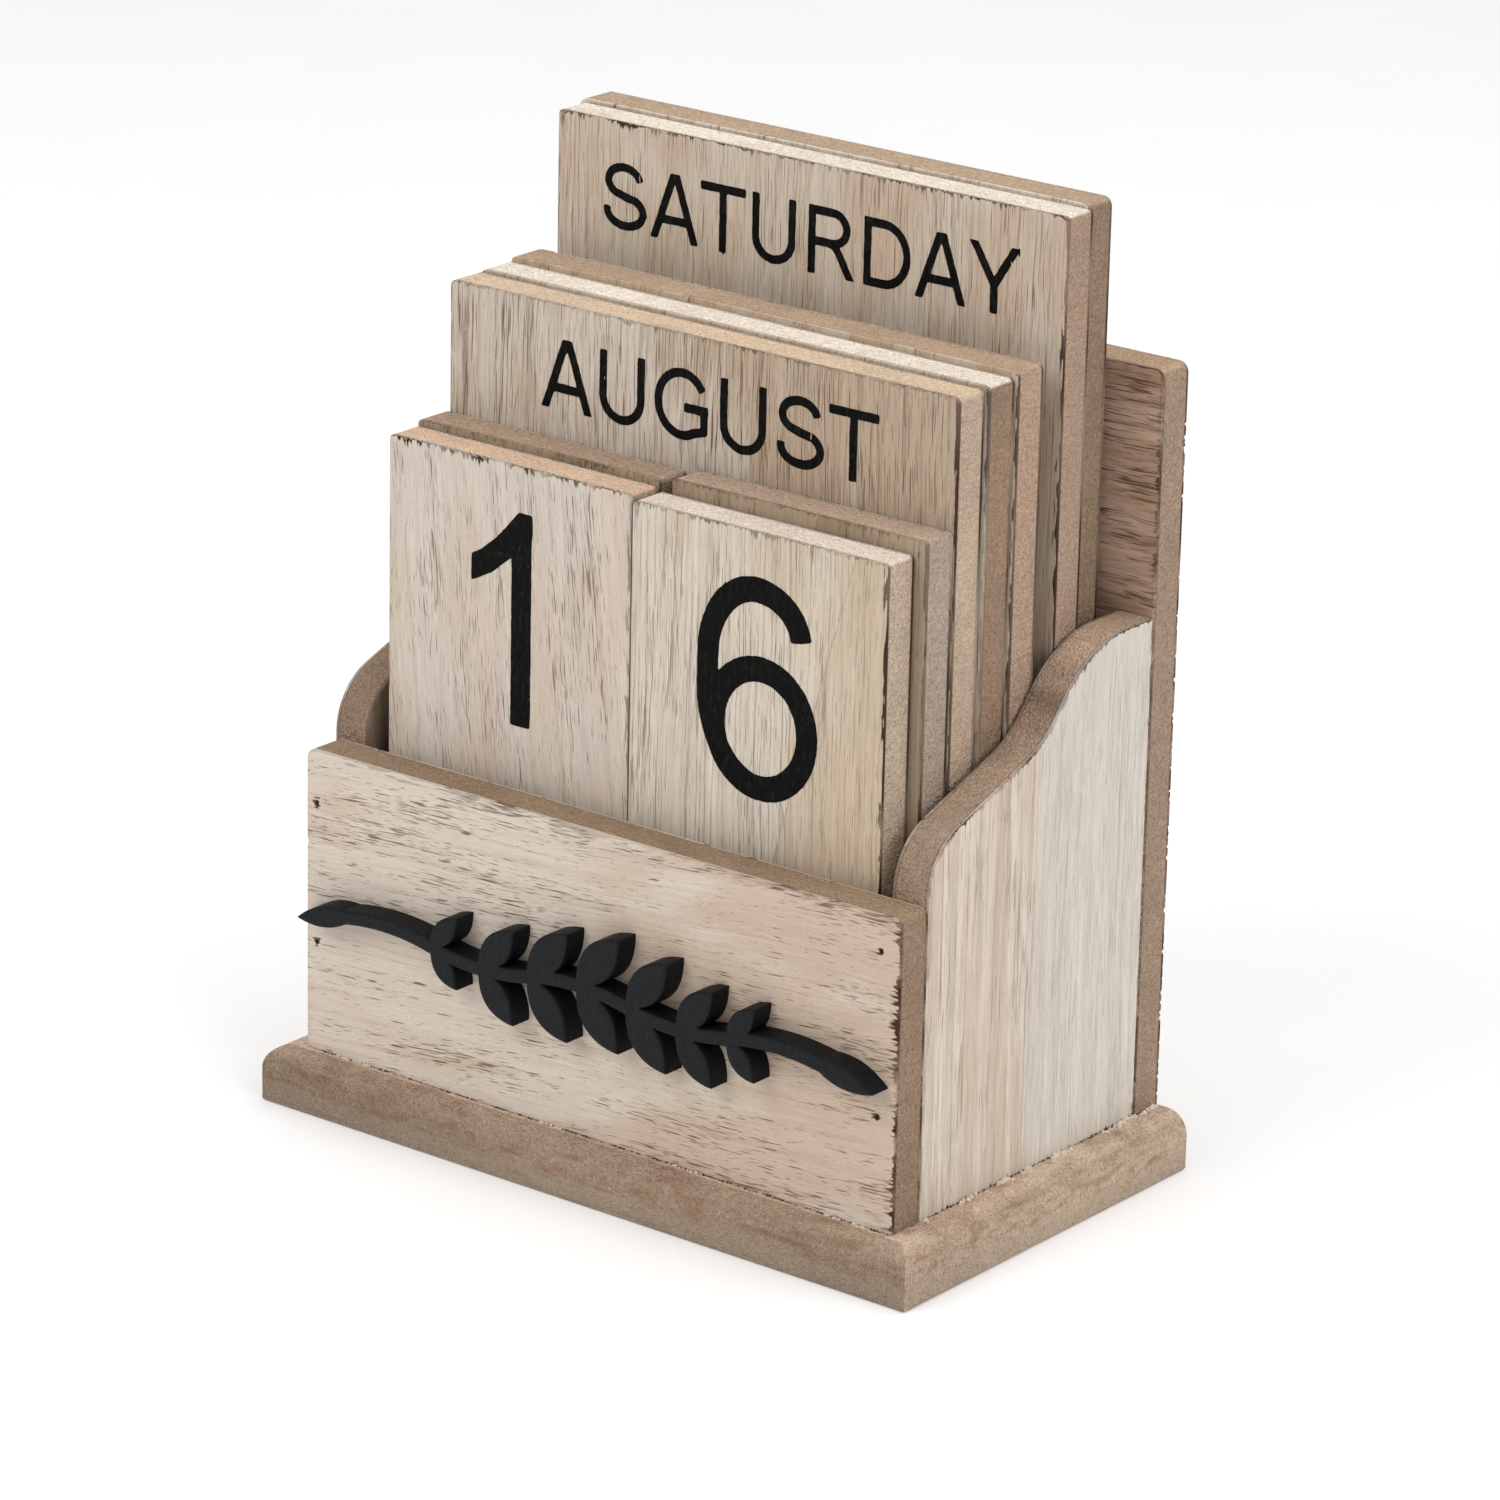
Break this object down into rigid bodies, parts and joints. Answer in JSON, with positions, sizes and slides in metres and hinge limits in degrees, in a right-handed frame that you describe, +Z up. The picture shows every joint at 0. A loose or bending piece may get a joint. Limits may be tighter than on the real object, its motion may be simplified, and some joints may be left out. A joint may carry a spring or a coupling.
{
  "type": "perpetual desk calendar",
  "caption": "Open wooden tray on a moulded base holding loose upright tiles for day, month and date, with a leaf sprig on its front.",
  "frame": {"origin": "centre of the base's underside, on the desk", "axes": "+X to the calendar's right as its front is read, +Y from the front panel to the back panel, +Z up"},
  "size_m": [0.121, 0.0692, 0.1477],
  "materials": {
    "base_fibreboard": "matte",
    "panel_fibreboard": "matte",
    "tile_fibreboard": "matte",
    "tray_veneer": "matte",
    "tile_veneer": "matte",
    "black_paint": "satin",
    "brad_steel": "satin"
  },
  "bodies": {
    "tray": {"base_board": "base_fibreboard", "front_panel_outer_veneer": "tray_veneer", "front_panel_core": "panel_fibreboard", "front_panel_inner_veneer": "tray_veneer", "back_panel_outer_veneer": "tray_veneer", "back_panel_core": "panel_fibreboard", "back_panel_inner_veneer": "tray_veneer", "left_side_outer_veneer": "tray_veneer", "left_side_core": "panel_fibreboard", "left_side_inner_veneer": "tray_veneer", "right_side_outer_veneer": "tray_veneer", "right_side_core": "panel_fibreboard", "right_side_inner_veneer": "tray_veneer", "front_sprig": "black_paint", "front_brads": "brad_steel", "back_brads": "brad_steel", "base_brads": "brad_steel"},
    "number_tile_front_left": {"number_tile_front_left_front_veneer": "tile_veneer", "number_tile_front_left_core": "tile_fibreboard", "number_tile_front_left_back_veneer": "tile_veneer"},
    "number_tile_front_right": {"number_tile_front_right_front_veneer": "tile_veneer", "number_tile_front_right_core": "tile_fibreboard", "number_tile_front_right_back_veneer": "tile_veneer"},
    "number_tile_rear_left": {"number_tile_rear_left_front_veneer": "tile_veneer", "number_tile_rear_left_core": "tile_fibreboard", "number_tile_rear_left_back_veneer": "tile_veneer"},
    "number_tile_rear_right": {"number_tile_rear_right_front_veneer": "tile_veneer", "number_tile_rear_right_core": "tile_fibreboard", "number_tile_rear_right_back_veneer": "tile_veneer"},
    "month_tile_front": {"month_tile_front_front_veneer": "tile_veneer", "month_tile_front_core": "tile_fibreboard", "month_tile_front_back_veneer": "tile_veneer"},
    "month_tile_middle": {"month_tile_middle_front_veneer": "tile_veneer", "month_tile_middle_core": "tile_fibreboard", "month_tile_middle_back_veneer": "tile_veneer"},
    "month_tile_rear": {"month_tile_rear_front_veneer": "tile_veneer", "month_tile_rear_core": "tile_fibreboard", "month_tile_rear_back_veneer": "tile_veneer"},
    "day_tile_front": {"day_tile_front_front_veneer": "tile_veneer", "day_tile_front_core": "tile_fibreboard", "day_tile_front_back_veneer": "tile_veneer"},
    "day_tile_rear": {"day_tile_rear_front_veneer": "tile_veneer", "day_tile_rear_core": "tile_fibreboard", "day_tile_rear_back_veneer": "tile_veneer"}
  },
  "joints": [
    {"name": "number_tile_front_left_lift", "type": "slide", "parent": "tray", "child": "number_tile_front_left", "axis": [0, 0, 1], "range_m": [0, 0.141]},
    {"name": "number_tile_front_right_lift", "type": "slide", "parent": "tray", "child": "number_tile_front_right", "axis": [0, 0, 1], "range_m": [0, 0.141]},
    {"name": "number_tile_rear_left_lift", "type": "slide", "parent": "tray", "child": "number_tile_rear_left", "axis": [0, 0, 1], "range_m": [0, 0.141]},
    {"name": "number_tile_rear_right_lift", "type": "slide", "parent": "tray", "child": "number_tile_rear_right", "axis": [0, 0, 1], "range_m": [0, 0.141]},
    {"name": "month_tile_front_lift", "type": "slide", "parent": "tray", "child": "month_tile_front", "axis": [0, 0, 1], "range_m": [0, 0.141]},
    {"name": "month_tile_middle_lift", "type": "slide", "parent": "tray", "child": "month_tile_middle", "axis": [0, 0, 1], "range_m": [0, 0.141]},
    {"name": "month_tile_rear_lift", "type": "slide", "parent": "tray", "child": "month_tile_rear", "axis": [0, 0, 1], "range_m": [0, 0.141]},
    {"name": "day_tile_front_lift", "type": "slide", "parent": "tray", "child": "day_tile_front", "axis": [0, 0, 1], "range_m": [0, 0.141]},
    {"name": "day_tile_rear_lift", "type": "slide", "parent": "tray", "child": "day_tile_rear", "axis": [0, 0, 1], "range_m": [0, 0.141]}
  ]
}
